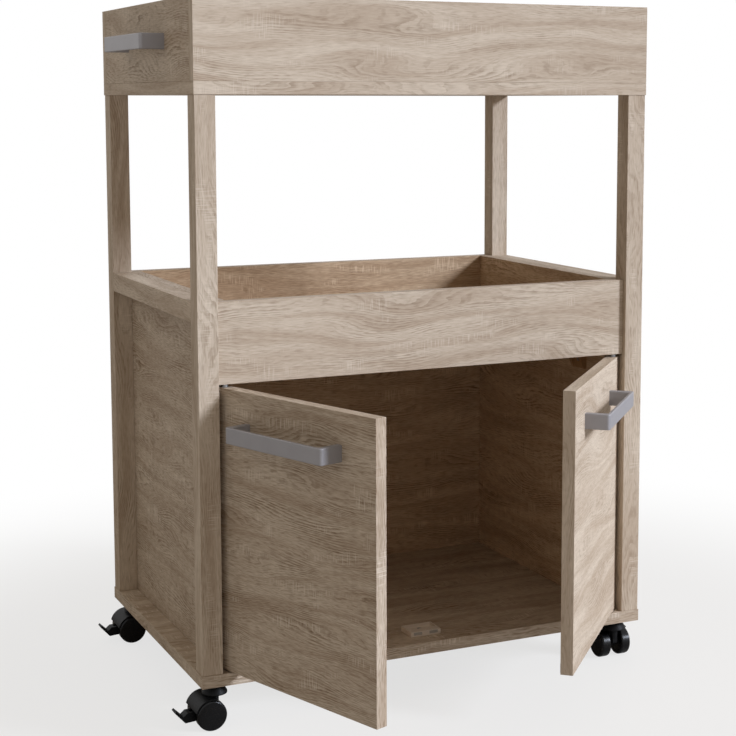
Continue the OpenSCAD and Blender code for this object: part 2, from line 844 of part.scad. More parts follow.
wheel(FRONT_RIGHT, 1);  // wheel_front_right_a
wheel(FRONT_RIGHT, -1);  // wheel_front_right_b
wheel(BACK_RIGHT, 1);  // wheel_back_right_a
wheel(BACK_RIGHT, -1);  // wheel_back_right_b
brake_lever(FRONT_LEFT);  // brake_lever_front_left
brake_lever(BACK_LEFT);  // brake_lever_back_left
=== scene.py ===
# %% [markdown]
# # A bar cabinet on casters
# The cabinet is made of 16 mm melamine boards: four posts carry a tray on top, a second tray
# in the middle and a cupboard with two doors below it. It rolls on four twin wheel casters.
# The frame that is loaded here holds every piece at its true size and place, so this
# script gives each one its finish, and remakes those whose edges have to catch the light.

# %% Load the frame
import json
import math

import bmesh
import bpy
from mathutils import Matrix, Vector

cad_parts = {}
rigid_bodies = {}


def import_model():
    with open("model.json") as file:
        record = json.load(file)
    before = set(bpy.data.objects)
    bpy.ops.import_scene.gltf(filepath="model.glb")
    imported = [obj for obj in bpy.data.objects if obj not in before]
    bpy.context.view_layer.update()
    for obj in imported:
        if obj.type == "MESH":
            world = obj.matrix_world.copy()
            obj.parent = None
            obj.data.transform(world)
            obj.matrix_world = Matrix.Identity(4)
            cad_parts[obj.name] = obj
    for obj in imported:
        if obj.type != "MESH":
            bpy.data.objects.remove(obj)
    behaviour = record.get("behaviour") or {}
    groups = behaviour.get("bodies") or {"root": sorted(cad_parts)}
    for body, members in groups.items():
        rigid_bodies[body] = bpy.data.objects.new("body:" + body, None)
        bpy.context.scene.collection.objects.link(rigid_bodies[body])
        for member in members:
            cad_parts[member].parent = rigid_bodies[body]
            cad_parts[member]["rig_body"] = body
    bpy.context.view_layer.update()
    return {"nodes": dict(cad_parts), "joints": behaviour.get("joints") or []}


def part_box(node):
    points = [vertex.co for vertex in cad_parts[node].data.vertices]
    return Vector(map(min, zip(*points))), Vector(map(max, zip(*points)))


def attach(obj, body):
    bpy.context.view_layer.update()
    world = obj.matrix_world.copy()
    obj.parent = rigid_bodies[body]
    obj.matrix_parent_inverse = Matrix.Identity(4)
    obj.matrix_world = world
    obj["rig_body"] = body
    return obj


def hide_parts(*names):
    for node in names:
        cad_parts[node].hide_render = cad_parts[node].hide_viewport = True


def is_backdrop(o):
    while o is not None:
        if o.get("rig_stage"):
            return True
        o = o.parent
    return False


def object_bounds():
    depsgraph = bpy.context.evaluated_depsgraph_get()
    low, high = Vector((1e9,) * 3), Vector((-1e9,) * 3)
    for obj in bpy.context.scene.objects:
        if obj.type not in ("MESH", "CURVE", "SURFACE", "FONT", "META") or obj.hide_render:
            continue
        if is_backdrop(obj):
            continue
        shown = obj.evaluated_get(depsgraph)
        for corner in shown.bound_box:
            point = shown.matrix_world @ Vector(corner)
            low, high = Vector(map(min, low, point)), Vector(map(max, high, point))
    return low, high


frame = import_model()
MM = 0.001
X, Y, Z = range(3)


def link_object(name, data):
    """Makes an object of a mesh, a camera or a lamp, and puts it into the scene."""
    made = bpy.data.objects.new(name, data)
    bpy.context.scene.collection.objects.link(made)
    return made


# %% [markdown]
# ## Where the camera stands
# The photograph was taken from the front left, a little below the top of the cabinet, with
# a lens that keeps the posts upright. The same picture comes from a camera that looks down a
# little and is shifted a little, and that also keeps the cabinet in the frame from other sides.

# %% Camera
CAMERA_PLACE = Vector((-907.0, -1960.0, 783.0)) * MM
CAMERA_TURN = math.radians(25.3)
CAMERA_DOWN = math.radians(6.3)
CAMERA_LENS = 79.6
CAMERA_SHIFT = (-0.0705, -0.12)

camera = link_object("camera", bpy.data.cameras.new("camera"))
bpy.context.scene.camera = camera
camera.location = CAMERA_PLACE
camera.rotation_euler = (math.radians(90) - CAMERA_DOWN, 0, -CAMERA_TURN)
camera.data.sensor_width = 36
camera.data.lens = CAMERA_LENS
camera.data.shift_x, camera.data.shift_y = CAMERA_SHIFT
camera.data.clip_end = 50
print("camera", round(CAMERA_PLACE.length, 2), "m from the foot of the cabinet")


# %% [markdown]
# ## Helpers for materials
# Colours are written as hex codes, as a paint chart gives them, and turned to the linear
# values that the shader works with. A material is a tree of nodes. One function adds a node,
# sets it and links it, and short ones name the usual nodes, so each line of a recipe reads
# as what it does.

# %% Colours and nodes
def colour(code):
    """A hex sRGB colour as linear RGBA."""
    parts = [int(code[i:i + 2], 16) / 255 for i in (1, 3, 5)]
    return (*[p / 12.92 if p <= 0.04045 else ((p + 0.055) / 1.055) ** 2.4 for p in parts], 1.0)


def plug(tree, node, inputs):
    """Sets a node's inputs. A node or a socket is linked, and anything else is a value."""
    for name, value in inputs.items():
        if isinstance(value, bpy.types.Node):
            value = next(socket for socket in value.outputs if socket.enabled)
        if isinstance(value, bpy.types.NodeSocket):
            tree.links.new(value, node.inputs[name])
        else:
            node.inputs[name].default_value = value


def add(tree, kind, inputs, **settings):
    """Adds a shader node of a kind, with its settings and its inputs."""
    node = tree.nodes.new("ShaderNode" + kind)
    for name, value in settings.items():
        setattr(node, name, value)
    plug(tree, node, inputs)
    return node


def times(tree, first, second):
    """The product of two values."""
    return add(tree, "Math", {0: first, 1: second}, operation="MULTIPLY")


def ramp(tree, value, start=0.0, end=1.0, low=0.0, high=1.0, **settings):
    """Takes a value from the range start to end to the range low to high, and keeps it there."""
    return add(tree, "MapRange", {0: value, 1: start, 2: end, 3: low, 4: high}, **settings)


def mix(tree, factor, first, second, **settings):
    """Mixes two colours, each a hex code, a node or a socket."""
    first, second = [colour(c) if isinstance(c, str) else c for c in (first, second)]
    return add(tree, "Mix", {"Factor": factor, "A": first, "B": second}, data_type="RGBA",
               **settings)


def noise(tree, place, size_mm, detail):
    """Noise in space, whose blots are size_mm wide."""
    return add(tree, "TexNoise", {"Vector": place, "Scale": 1 / (size_mm * MM), "Detail": detail})


def new_material(name, **values):
    """A material with its Principled shader, whose plain numbers and colours are set here."""
    material = bpy.data.materials.new(name)
    material.use_nodes = True
    tree = material.node_tree
    shader = tree.nodes["Principled BSDF"]
    for key, value in values.items():
        plug(tree, shader, {key.replace("_", " ").title().replace("Ior", "IOR"): value})
    return material, tree, shader


# %% [markdown]
# ## Oak melamine
# The boards are chipboard under a paper that is printed with greyish oak and pressed into
# matt resin, so the surface is smooth and a little dull. The print shows a few clusters of
# rings and knots between calm fibre, and pale marks across the grain, as a coarse saw leaves.
# Rings are the contour lines of a slowly waving height: where it is steep they crowd, and
# round a hill of it they close like the rings of a knot. The UV map holds millimetres, U
# along the grain and V across it, so one material serves all the boards. The figure is
# painted calmer on the boards that stand in the light and bolder on the boards in shade,
# which is painted light and leaves the shaded boards a little darker. The faces within the
# cupboard and the middle tray are multiplied by a warm tint, which is painted shade for the
# light bounced between the boards. Two face attributes carry both.

# %% Oak melamine
RING_MM = 3.3            # how much the height changes from one ring to the next
HILL_MM, HILL_RISE = (260, 60), 64.0     # a blot's length along the grain and its width
RIPPLE_MM, RIPPLE_RISE = (30, 8), 3.0
CLUSTER_MM = (130, 30)   # where rings show
BAND_MM = (260, 17)      # broad tones that flow with the rings
FIBRE_MM = (14.0, 1.3)   # real fibre is finer, and is drawn as coarse as it needs to show
PORE_MM = (16, 1.3)
PATCH_MM = (80, 24)      # where saw marks show
SAW_MM, SAW_LONG_MM = 3.3, 26            # spacing of the saw marks, and their length
PORE_DEEP_MM = 0.04
OAK_LIGHT, OAK_MID, OAK_DARK = "#cdbeab", "#b8a692", "#79624a"
OAK_SAWN = "#e2d6c6"
# Painted shade: a warm tint for the faces within, standing in for light bounced between the
# boards
PAINTED_INNER_SHADE = "#fff2e1"      # what the faces within are multiplied by


def grain_noise(tree, grain, along_mm, across_mm, shift=0.0, detail=2.0):
    """Noise on the grain's coordinates, whose blots are along_mm long and across_mm wide.

    Each use has a shift of its own, so that no two layers share their blots.
    """
    place = add(tree, "Mapping", {"Vector": grain, "Location": (shift, shift * 0.7, 0),
                                  "Scale": (1 / along_mm, 1 / across_mm, 1)})
    return add(tree, "TexNoise", {"Vector": place, "Scale": 1.0, "Detail": detail},
               noise_dimensions="2D")


def oak_melamine():
    material, tree, shader = new_material("oak_melamine", specular_ior_level=0.2)
    grain = add(tree, "UVMap", {}, uv_map="grain_mm")
    along, across = add(tree, "SeparateXYZ", {"Vector": grain}).outputs[:2]
    # The height whose contour lines are the rings: a slope, slow hills and a small ripple
    hills = times(tree, grain_noise(tree, grain, *HILL_MM, detail=1.0), HILL_RISE)
    ripple = times(tree, grain_noise(tree, grain, *RIPPLE_MM, 11.3, 3.0), RIPPLE_RISE)
    height = add(tree, "Math", {0: hills, 1: ripple})
    height = add(tree, "Math", {0: height, 1: across})
    ring = add(tree, "Math", {0: height, 1: RING_MM}, operation="DIVIDE")
    ring = add(tree, "Math", {0: ring}, operation="FRACT")
    # Each ring darkens slowly to its late wood and ends in a thin pale line
    late = ramp(tree, ring, 0.25, 0.9, interpolation_type="SMOOTHSTEP")
    pale = ramp(tree, ring, 0.25, 0.05)
    # Rings show in clusters, and the fibre breaks them up
    fibre = ramp(tree, grain_noise(tree, grain, *FIBRE_MM, 7.9), 0.3, 0.7)
    cluster = ramp(tree, grain_noise(tree, grain, *CLUSTER_MM, 4.1), 0.44, 0.7, low=0.15)
    broken = times(tree, cluster, ramp(tree, fibre, low=0.35))
    # Broad tones and pores flow with the rings
    flow = add(tree, "CombineXYZ", {"X": along, "Y": height})
    bands = ramp(tree, grain_noise(tree, flow, *BAND_MM, 2.7, 3.0), 0.35, 0.63)
    pores = ramp(tree, grain_noise(tree, flow, *PORE_MM, 5.3, 1.0), 0.58, 0.72)
    # Saw marks: thin pale lines across the grain, in patches
    patch = ramp(tree, grain_noise(tree, grain, *PATCH_MM, 8.8, 1.0), 0.6, 0.72)
    lines = grain_noise(tree, grain, SAW_MM / 2, SAW_LONG_MM, 3.9, 0.5)
    saw = times(tree, patch, ramp(tree, lines, 0.5, 0.7))
    # The colours, from the broad to the fine. Each layer has its mask, strength and colour
    late, pale = times(tree, late, broken), times(tree, pale, broken)
    # Painted light: the figure is bolder, and so a little darker, on boards in shade, and calmer
    # on lit ones
    bold = add(tree, "Attribute", {}, attribute_name="bolder").outputs["Fac"]
    bold = add(tree, "Math", {0: bold, 1: 1.0})
    layers = ((late, 0.75, OAK_DARK), (pale, 0.4, OAK_LIGHT), (fibre, 0.26, OAK_DARK),
              (pores, 0.3, OAK_DARK), (saw, 0.36, OAK_SAWN))
    paint = mix(tree, bands, OAK_MID, OAK_LIGHT)
    for mask, strength, code in layers:
        paint = mix(tree, times(tree, times(tree, mask, strength), bold), paint, code)
    # Painted shade: the faces within the cupboard and the middle tray are multiplied by a warm
    # tint
    warm = add(tree, "Attribute", {}, attribute_name="warmer").outputs["Fac"]
    paint = mix(tree, warm, paint, PAINTED_INNER_SHADE, blend_type="MULTIPLY")
    relief = add(tree, "Math", {0: saw, 1: pores}, operation="SUBTRACT")
    bump = add(tree, "Bump", {"Height": relief, "Distance": PORE_DEEP_MM * MM, "Strength": 0.35})
    rough = ramp(tree, fibre, low=0.6, high=0.72)
    plug(tree, shader, {"Base Color": paint, "Roughness": rough, "Normal": bump})
    return material


OAK = oak_melamine()
print("oak melamine", len(OAK.node_tree.nodes), "nodes")


# %% [markdown]
# ## Tools for pieces
# A new piece is a bmesh that is turned into an object. It takes a CAD node's place, rides on
# that node's body, and takes the finish that it is given. Round pieces are shaded
# smooth, and their flat faces stay flat because the normals are weighted by face area.

# %% Tools for pieces
CREASE = math.radians(40)       # a round piece's edges that turn more than this stay sharp
WELD = 0.001 * MM               # points closer than this are made one
NEAR = 0.05 * MM                # points closer than this to a plane count as on it


def corners(points):
    """The lowest and the highest corner of the box round some points."""
    points = list(points)
    return [Vector([pick(p[i] for p in points) for i in range(3)]) for pick in (min, max)]


def bevel(bm, geom, width, segments, affect="EDGES", **settings):
    """Rounds edges of a bmesh, or with affect VERTICES the corners of an outline."""
    bmesh.ops.bevel(bm, geom=geom, offset=width, segments=segments, affect=affect, profile=0.5,
                    material=-1, **settings)


def weld(bm):
    """Makes points that lie in the same place one."""
    bmesh.ops.remove_doubles(bm, verts=bm.verts, dist=WELD)


def open_edges(bm):
    """How many edges don't join exactly two faces. A closed piece has none."""
    return sum(not edge.is_manifold for edge in bm.edges)


def body_of(node):
    """The body that a CAD node rides on."""
    return frame["nodes"][node]["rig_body"]


def finish_piece(name, bm, material, *nodes, smooth=False):
    """Turns a bmesh into a piece that replaces its CAD nodes and rides with their body."""
    mesh = bpy.data.meshes.new(name)
    if smooth:
        for face in bm.faces:
            face.smooth = True
        for edge in bm.edges:
            edge.smooth = edge.calc_face_angle(0) < CREASE
    bm.to_mesh(mesh)
    bm.free()
    piece = link_object(name, mesh)
    mesh.materials.append(material)
    if smooth:
        piece.modifiers.new("flat faces", "WEIGHTED_NORMAL").keep_sharp = True
    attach(piece, body_of(nodes[0]))
    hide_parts(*nodes)
    return piece


def dress(node, material):
    """Gives a CAD node that stays in view its finish."""
    for place in frame["nodes"][node].material_slots:
        place.material = material


# %% [markdown]
# ## Boards
# A sawn board is a plain box, but its banded edges are broken by half a millimetre, and
# that thin rounding is what draws the light and dark lines at every joint in the photograph.
# Each board is remade from its node's box with those bevels. The grain runs the way the
# photograph shows: along the width on fronts, doors and panels, and upright on the posts.

# %% Board tools
EDGE_BREAK = 0.5 * MM
# Painted shade: these sides take a warm tint that stands in for light bounced inside
WITHIN = {      # the sides of a board that face into the cupboard or the middle tray
    "back_panel": "-Y", "side_panel_left": "+X", "side_panel_right": "-X",
    "middle_tray_front": "+Y", "middle_tray_floor": "+Z-Z", "door_left": "+Y", "door_right": "+Y",
}


def lay_grain(bm, node, grain, seed, bold):
    """Fills a board's UV map with millimetres along and across the grain, and both attributes."""
    layer = bm.loops.layers.uv.new("grain_mm")
    bolder = bm.faces.layers.float.new("bolder")
    warmer = bm.faces.layers.float.new("warmer")
    low, high = corners(v.co for v in bm.verts)
    size = high - low
    thin = min(range(3), key=lambda i: size[i])
    for face in bm.faces:
        facing = max(range(3), key=lambda i: abs(face.normal[i]))
        side = ("+" if face.normal[facing] > 0 else "-") + "XYZ"[facing]
        # Painted light: how much bolder the figure is, set by whether the board is lit or in
        # shade
        face[bolder] = bold - 1
        # Painted shade: marks the faces within for the warm tint
        face[warmer] = side in WITHIN.get(node, "")
        flat = [i for i in range(3) if i != facing]
        along = grain if facing == thin and grain in flat else max(flat, key=lambda i: size[i])
        across = flat[0] if flat[1] == along else flat[1]
        number = 3 * facing + (1 if face.normal[facing] > 0 else 0)
        shift = Vector((seed * 937.0 + number * 411.0, seed * 271.0 + number * 173.0))
        for loop in face.loops:
            place = (loop.vert.co - low) / MM
            loop[layer].uv = (place[along] + shift.x, place[across] + shift.y)


def box_mesh(low, high):
    """A box between two corners with all its edges broken."""
    bm = bmesh.new()
    bmesh.ops.create_cube(bm, size=1.0)
    bmesh.ops.scale(bm, vec=high - low, verts=bm.verts)
    bmesh.ops.translate(bm, vec=(low + high) / 2, verts=bm.verts)
    bevel(bm, bm.edges[:], EDGE_BREAK, 2)
    return bm


# %% Fixed boards
# Painted light: the figure is calm on boards that stand in the light and bold on boards in shade,
# which also leaves those a little darker
CALM, MEDIUM, LIVELY, BOLD = 0.7, 0.85, 1.1, 1.35      # how strong a board's figure is
GRAIN = {
    "base_board": (X, BOLD), "upper_shelf": (X, CALM), "tray_front": (X, CALM),
    "tray_back": (X, CALM), "tray_side_left": (Y, LIVELY), "tray_side_right": (Y, MEDIUM),
    "post_front_left": (Z, MEDIUM), "post_front_right": (Z, MEDIUM),
    "post_back_left": (Z, MEDIUM), "post_back_right": (Z, MEDIUM),
    "rail_left": (Y, MEDIUM), "rail_right": (Y, MEDIUM),
    "side_panel_left": (Y, BOLD), "side_panel_right": (Y, BOLD),
    "middle_tray_front": (X, MEDIUM), "middle_tray_floor": (X, MEDIUM), "back_panel": (X, BOLD),
}
for number, (node, (grain, bold)) in enumerate(GRAIN.items()):
    bm = box_mesh(*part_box(node))
    lay_grain(bm, node, grain, number + 1, bold)
    finish_piece(node + "_board", bm, OAK, node)
print("boards", len(GRAIN))

# %% [markdown]
# ## Doors
# A door stands open, so its node's box says little. It is made shut, where it is a plain
# box, and then turned on its pins as it stands. The hinge joint gives the pivot and the angle.

# %% Doors
JOINTS = {joint["name"]: joint for joint in frame["joints"]}


def turning(side, back=False):
    """The matrix that shuts a door, or with back opens it again as it stands."""
    joint = JOINTS[side + "_door_hinge"]
    lowest, highest = joint["range_deg"]
    angle = math.radians(highest if side == "left" else lowest)
    pivot = Vector(joint["pos_m"])
    turn = Matrix.Rotation(-angle if back else angle, 4, "Z")
    return Matrix.Translation(pivot) @ turn @ Matrix.Translation(-pivot)


def shut_box(node, side):
    """A door node's lowest and highest corner with the door shut."""
    return corners(turning(side) @ v.co for v in frame["nodes"][node].data.vertices)


for number, side in enumerate(("left", "right")):
    node = "door_" + side
    bm = box_mesh(*shut_box(node, side))
    # Painted light: the shaded left door gets the bold figure and the lit right door the calm one
    lay_grain(bm, node, X, 31 + number, BOLD if side == "left" else CALM)
    bm.transform(turning(side, back=True))
    finish_piece(node + "_board", bm, OAK, node)
print("doors stand open by", [round(abs(JOINTS[s + "_door_hinge"]["range_deg"][i]), 1)
                              for s, i in (("left", 1), ("right", 0))], "degrees")


# %% [markdown]
# ## Powder coat
# The handles are cast zinc under a satin grey powder coat. Powder melts into a skin with a
# faint orange peel, about a millimetre from wave to wave, so its highlights are soft at the
# rim. Fine flakes of aluminium in the paint reflect a part of the light as a metal does.

# %% Powder coat
PEEL_MM, CLOUD_MM = 1.1, 24     # width of a wave of the peel, and of a faint cloud
COAT, COAT_PALE = "#979598", "#a19fa2"


def powder_coat():
    material, tree, shader = new_material("satin_grey_powder_coat", metallic=0.35,
                                          roughness=0.46, specular_ior_level=0.22)
    place = add(tree, "TexCoord", {}).outputs["Object"]
    peel = noise(tree, place, PEEL_MM, 1.0)
    tone = mix(tree, noise(tree, place, CLOUD_MM, 2.0), COAT, COAT_PALE)
    bump = add(tree, "Bump", {"Height": peel, "Distance": 0.02 * MM, "Strength": 0.5})
    plug(tree, shader, {"Base Color": tone, "Normal": bump})
    return material


POWDER_COAT = powder_coat()
print("powder coat", len(POWDER_COAT.node_tree.nodes), "nodes")

# %% [markdown]
# ## Handles
# A handle is a flat bar on two thicker legs, cast in one piece. Its outline seen from above
# is a U of eight points. They make a face, which is extruded to the handle's height. Then
# the two outer corners get their round, and at last every edge but the feet is softened.

# %% Handle
BAR_T, LEG_T = 4.5 * MM, 9.0 * MM
CORNER_R, INNER_R, SOFT_R = 4.0 * MM, 1.5 * MM, 1.2 * MM


def handle_mesh(length, out, height):
    """A handle with its feet on the plane y = 0 and its bar towards -Y."""
    half, inner = length / 2, length / 2 - LEG_T
    outline = ((-half, 0), (-half, -out), (half, -out), (half, 0),
               (inner, 0), (inner, BAR_T - out), (-inner, BAR_T - out), (-inner, 0))
    bm = bmesh.new()
    face = bm.faces.new([bm.verts.new((x, y, -height / 2)) for x, y in outline])
    raised = bmesh.ops.extrude_face_region(bm, geom=[face])["geom"]
    top = [v for v in raised if isinstance(v, bmesh.types.BMVert)]
    bmesh.ops.translate(bm, vec=(0, 0, height), verts=top)
    bmesh.ops.recalc_face_normals(bm, faces=bm.faces)
    for depth, radius, segments in ((-out, CORNER_R, 6), (BAR_T - out, INNER_R, 3)):
        upright = [e for e in bm.edges if abs(e.verts[0].co.z - e.verts[1].co.z) > height / 2
                   and abs(e.verts[0].co.y - depth) < NEAR]
        bevel(bm, upright, radius, segments)
    rim = [e for e in bm.edges if abs(e.verts[0].co.z - e.verts[1].co.z) < NEAR
           and min(e.verts[0].co.y, e.verts[1].co.y) < -NEAR]
    bevel(bm, rim, SOFT_R, 3)
    return bm


# %% Place the handles
for side, sign in (("left", -1), ("right", 1)):
    low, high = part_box("tray_handle_" + side)
    size = high - low
    bm = handle_mesh(size.y, size.x, size.z)
    foot = Vector((high.x if sign < 0 else low.x, (low.y + high.y) / 2, (low.z + high.z) / 2))
    bm.transform(Matrix.Translation(foot) @ Matrix.Rotation(math.radians(90 * sign), 4, "Z"))
    finish_piece("tray_handle_%s_bar" % side, bm, POWDER_COAT, "tray_handle_" + side, smooth=True)
    low, high = shut_box("door_handle_" + side, side)
    size = high - low
    bm = handle_mesh(size.x, size.y, size.z)
    foot = Vector(((low.x + high.x) / 2, high.y, (low.z + high.z) / 2))
    bm.transform(turning(side, back=True) @ Matrix.Translation(foot))
    finish_piece("door_handle_%s_bar" % side, bm, POWDER_COAT, "door_handle_" + side, smooth=True)
    print("handle", side, [round(x / MM, 1) for x in size])


# %% [markdown]
# ## Black nylon and black steel
# The casters are moulded in black nylon. The wheels come out of a smooth mould, so a tread
# shows the lamp as a soft streak, with faint flow marks and a fine dust of scratches. The
# housings and brake levers are of the same nylon from a finely eroded mould, so they stay
# dull. The mounting plates are steel with black paint.

# %% Black nylon
FLOW_MM = 9              # width of the faint flow marks
FLOW_TONE = "#0b0b0c"


def black_moulding(name, code, roughness, wear_mm, specular):
    material, tree, shader = new_material(name, specular_ior_level=specular)
    place = add(tree, "TexCoord", {}).outputs["Object"]
    flow = noise(tree, place, FLOW_MM, 3.0)
    scuff = noise(tree, place, wear_mm, 4.0)
    rough = ramp(tree, scuff, 0.35, 0.75, roughness, roughness + 0.05)
    tone = mix(tree, flow, code, FLOW_TONE)
    bump = add(tree, "Bump", {"Height": scuff, "Distance": 0.004 * MM, "Strength": 0.3})
    plug(tree, shader, {"Base Color": tone, "Roughness": rough, "Normal": bump})
    return material


NYLON = black_moulding("smooth_black_nylon", "#050506", 0.24, 2.2, 0.25)
DULL_NYLON = black_moulding("dull_black_nylon", "#050506", 0.5, 0.8, 0.15)
BLACK_STEEL = black_moulding("black_painted_steel", "#070708", 0.45, 1.4, 0.15)
print("black finishes", NYLON.name, DULL_NYLON.name, BLACK_STEEL.name)

# %% [markdown]
# ## Wheels
# A wheel is turned round its axle, so a spin of its section makes it. The section is a
# chain of a few points, from the bore round the tread to the middle of the outer face, which
# bulges a little. The tread's two corners are rounded by a bevel of their vertices, and
# then the chain is spun full circle.

# %% Wheel
BORE_R, BORE_DEEP = 3.05 * MM, 10.3 * MM
TREAD_ROUND = 2.5 * MM
TREAD_CORNERS = (3, 4)  # which points of the section they are
BULGE = 0.6 * MM        # how far the outer face rises from its rim to its middle
WHEEL_STEPS = 64


def spun(section, steps, rounded=(), width=0.0):
    """Spins a section of (radius, height) round Z, with its corners of some numbers rounded."""
    bm = bmesh.new()
    chain = [bm.verts.new((radius, 0, height)) for radius, height in section]
    for pair in zip(chain, chain[1:]):
        bm.edges.new(pair)
    if rounded:
        bevel(bm, [chain[i] for i in rounded], width, 6, affect="VERTICES")
    bmesh.ops.spin(bm, geom=bm.verts[:] + bm.edges[:], cent=(0, 0, 0), axis=(0, 0, 1),
                   angle=math.tau, steps=steps, use_merge=True)
    weld(bm)
    bmesh.ops.recalc_face_normals(bm, faces=bm.faces)
    return bm


def wheel_mesh(radius, width):
    """A wheel on Z, with its inner face and its bore at z = 0."""
    face = [(radius * share, width - BULGE * share ** 2) for share in (1.0, 0.75, 0.5, 0.25, 0.0)]
    section = [(0, BORE_DEEP), (BORE_R, BORE_DEEP), (BORE_R, 0), (radius, 0), *face]
    return spun(section, WHEEL_STEPS, TREAD_CORNERS, TREAD_ROUND)


# %% Place the wheels
CASTERS = ("front_left", "back_left", "front_right", "back_right")
for caster in CASTERS:
    axle_low, axle_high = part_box("axle_" + caster)
    middle = (axle_low + axle_high) / 2
    for letter in "ab":
        node = "wheel_%s_%s" % (caster, letter)
        low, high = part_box(node)
        outwards = ((low + high) / 2 - middle).normalized()
        width = abs((high - low).dot(outwards))
        bm = wheel_mesh((high.z - low.z) / 2, width)
        turn = outwards.to_track_quat("Z", "X").to_matrix().to_4x4()
        inner = (low + high) / 2 - outwards * width / 2
        bm.transform(Matrix.Translation(inner) @ turn)
        finish_piece(node + "_tyre", bm, NYLON, node, smooth=True)
print("wheels", 2 * len(CASTERS), "of radius", round((high.z - low.z) / 2 / MM, 1), "mm")

# %% [markdown]
# ## Moulded and pressed bodies
# A caster's body, a brake lever and the small fittings have the right shape in the frame
# already, but their edges are sharp as a knife. A moulding's edges are never sharp. So their
# meshes are copied, joined up, freed of the lines across flat faces, and bevelled.

# %% Softened copies
FLAT = math.radians(0.5)        # lines between faces that turn less than this go
CORNER = math.radians(32)       # edges that turn more than this are broken


def merged_copy(node):
    """A bmesh copy of a CAD node, with its loose triangles joined."""
    bm = bmesh.new()
    bm.from_mesh(frame["nodes"][node].data)
    weld(bm)
    return bm


def softened(name, material, width, *nodes):
    """A copy of a CAD node with its sharp edges broken, as a piece that replaces it."""
    bm = merged_copy(nodes[0])
    bmesh.ops.dissolve_limit(bm, angle_limit=FLAT, verts=bm.verts, edges=bm.edges)
    sharp = [edge for edge in bm.edges if edge.calc_face_angle(0) > CORNER]
    bevel(bm, sharp, width, 2, clamp_overlap=True)
    weld(bm)
    bmesh.ops.recalc_face_normals(bm, faces=bm.faces)
    print(name, len(bm.faces), "faces", open_edges(bm), "open edges")
    return finish_piece(name, bm, material, *nodes, smooth=True)


for caster in CASTERS:
    softened("caster_%s_housing" % caster, DULL_NYLON, 0.4 * MM, "caster_body_" + caster)
    if caster.endswith("left"):
        softened("caster_%s_pedal" % caster, DULL_NYLON, 0.5 * MM, "brake_lever_" + caster)
softened("caster_mounting_plates", BLACK_STEEL, 0.3 * MM, "caster_plates")


# %% [markdown]
# ## Small metal and plastic fittings
# Screws, pins, axles and striker plates are steel with zinc, which comes out of its bath with
# a faint grey cloud and goes dull with use. The magnets have a warmer skin of nickel. The
# catch is light grey ABS, and the corner brackets under the middle tray are brown
# polypropylene, both from a fine matt mould. The dowels are beech, pressed with flutes.

# %% Fitting materials
def cloudy(name, light, dark, cloud_mm, grain_mm, low_rough, high_rough, **values):
    """A finish with a soft cloud of two tones and a fine grain in its gloss and relief."""
    material, tree, shader = new_material(name, **values)
    place = add(tree, "TexCoord", {}).outputs["Object"]
    cloud = noise(tree, place, cloud_mm, 3.0)
    fine = noise(tree, place, grain_mm, 2.0)
    tone = mix(tree, cloud, light, dark)
    rough = ramp(tree, fine, 0.3, 0.7, low_rough, high_rough)
    bump = add(tree, "Bump", {"Height": fine, "Distance": 0.02 * MM, "Strength": 0.4})
    plug(tree, shader, {"Base Color": tone, "Roughness": rough, "Normal": bump})
    return material


ZINC = cloudy("dull_zinc_plate", "#a5a6a8", "#8b8d90", 3.0, 0.6, 0.34, 0.5, metallic=1.0)
NICKEL = cloudy("nickel_plate", "#b3aca2", "#9d978e", 2.0, 0.5, 0.34, 0.48, metallic=1.0)
GREY_ABS = cloudy("light_grey_abs", "#d4c8ba", "#c9bcae", 6.0, 0.4, 0.42, 0.55)
BROWN_PP = cloudy("brown_polypropylene", "#a07c56", "#8f6d49", 5.0, 0.4, 0.4, 0.55)
BEECH = cloudy("fluted_beech", "#d9bd93", "#c7a679", 4.0, 0.7, 0.55, 0.7)
softened("magnetic_catch", GREY_ABS, 0.35 * MM, "catch_body")
softened("corner_brackets", BROWN_PP, 0.5 * MM, "tray_brackets")
for side in ("left", "right"):
    softened("striker_plate_" + side, ZINC, 0.25 * MM, "door_striker_" + side)
    dress("door_bushes_" + side, DULL_NYLON)
for node in ["hinge_pins", "caster_stems"] + ["axle_" + caster for caster in CASTERS]:
    dress(node, ZINC)
dress("catch_magnets", NICKEL)
dress("dowels", BEECH)
print("fitting finishes", [m.name for m in (ZINC, NICKEL, GREY_ABS, BROWN_PP, BEECH)])


# %% [markdown]
# ## Screws
# A screw's head shows inside the trays and the doors and under the base. The long frame
# screws have a low domed head with a hexagon socket, and the small ones have a cross
# recess. Only the head's rim and the shank can be spun. The flat round the recess is filled
# between two loops, and the recess is extruded down from the inner one.

# %% Screw
TOP_R, RECESS_R = 0.66, 0.78    # the head's flat top as a share of it, the recess as one of that
ARM_R = 0.28                    # half the width of a cross's arm, as a share of its length
FLOOR_R, FLOOR_DEEP = 0.72, 0.75        # the recess's floor against its mouth and the head
SCREW_STEPS = 28


def recess_outline(kind, radius):
    """The corners of a hexagon socket or a cross recess."""
    if kind == "hexagon":
        angles = [i * math.tau / 6 for i in range(6)]
        return [(radius * math.cos(a), radius * math.sin(a)) for a in angles]
    arm = radius * ARM_R
    quarter = ((radius, -arm), (radius, arm), (arm, arm))
    turns = ((1, 0), (0, 1), (-1, 0), (0, -1))
    return [(x * c - y * s, x * s + y * c) for c, s in turns for x, y in quarter]


